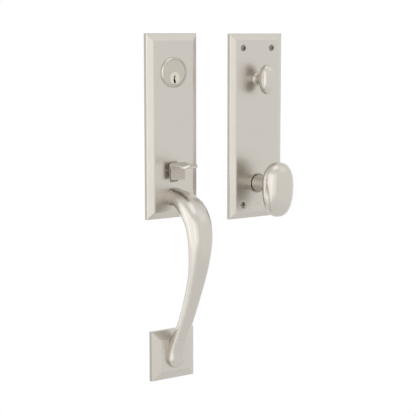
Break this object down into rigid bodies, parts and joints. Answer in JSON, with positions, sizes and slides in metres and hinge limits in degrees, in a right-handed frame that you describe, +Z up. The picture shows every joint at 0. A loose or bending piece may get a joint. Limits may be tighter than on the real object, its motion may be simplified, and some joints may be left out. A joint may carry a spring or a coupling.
{
  "type": "entry door handleset",
  "caption": "Entry door handleset: outside plate with key cylinder, thumb lever and bowed grip on a foot plate, and inside plate with thumb turn and egg knob",
  "frame": {"origin": "Middle of the outside plate on its back face, which lies on the door", "axes": "+X across the door to the right as seen from the outside, +Y into the door, +Z up"},
  "size_m": [0.2172, 0.126, 0.451],
  "materials": {
    "satin_nickel": "satin nickel plated, warm grey",
    "bright_nickel": "bright nickel plated",
    "steel": "zinc plated",
    "raw_brass": "bare machined"
  },
  "bodies": {
    "trim": {"outside_plate": "satin_nickel", "cylinder_collar": "satin_nickel", "lock_cylinder": "satin_nickel", "cylinder_nut": "raw_brass", "mounting_posts": "raw_brass", "lever_bracket": "steel", "lever_pin": "steel", "bracket_screws": "steel", "grip": "satin_nickel", "grip_bolt": "steel", "grip_washer": "steel", "foot_plate": "satin_nickel", "foot_clip": "steel", "inside_plate": "satin_nickel", "corner_screws": "satin_nickel", "turn_ring": "satin_nickel", "turn_washer": "steel", "knob_ring": "satin_nickel", "spring_housing": "steel", "housing_screws": "steel", "return_spring": "steel"},
    "key_plug": {"key_plug": "bright_nickel", "plug_cap": "raw_brass", "tailpiece": "steel"},
    "thumb_lever": {"thumb_lever": "satin_nickel", "lever_spring": "steel"},
    "thumb_turn": {"thumb_turn": "satin_nickel", "turn_clip": "steel"},
    "egg_knob": {"egg_knob": "satin_nickel", "set_screw": "steel", "spindle": "steel", "spring_driver": "raw_brass", "knob_clip": "steel"}
  },
  "joints": [
    {"name": "key_turn", "type": "hinge", "parent": "trim", "child": "key_plug", "pos_m": [0, 0, 0.062], "axis": [0, 1, 0], "range_deg": [-90, 90]},
    {"name": "lever_press", "type": "hinge", "parent": "trim", "child": "thumb_lever", "pos_m": [0, -0.0005, -0.056], "axis": [1, 0, 0], "range_deg": [0, 14], "stiffness_Nm_per_rad": 0.4, "springref_deg": -17.19},
    {"name": "turn_rotate", "type": "hinge", "parent": "trim", "child": "thumb_turn", "pos_m": [0.1355, 0, 0.0577], "axis": [0, 1, 0], "range_deg": [-90, 90]},
    {"name": "knob_rotate", "type": "hinge", "parent": "trim", "child": "egg_knob", "pos_m": [0.1355, 0, -0.082], "axis": [0, 1, 0], "range_deg": [-45, 45], "stiffness_Nm_per_rad": 0.6}
  ]
}
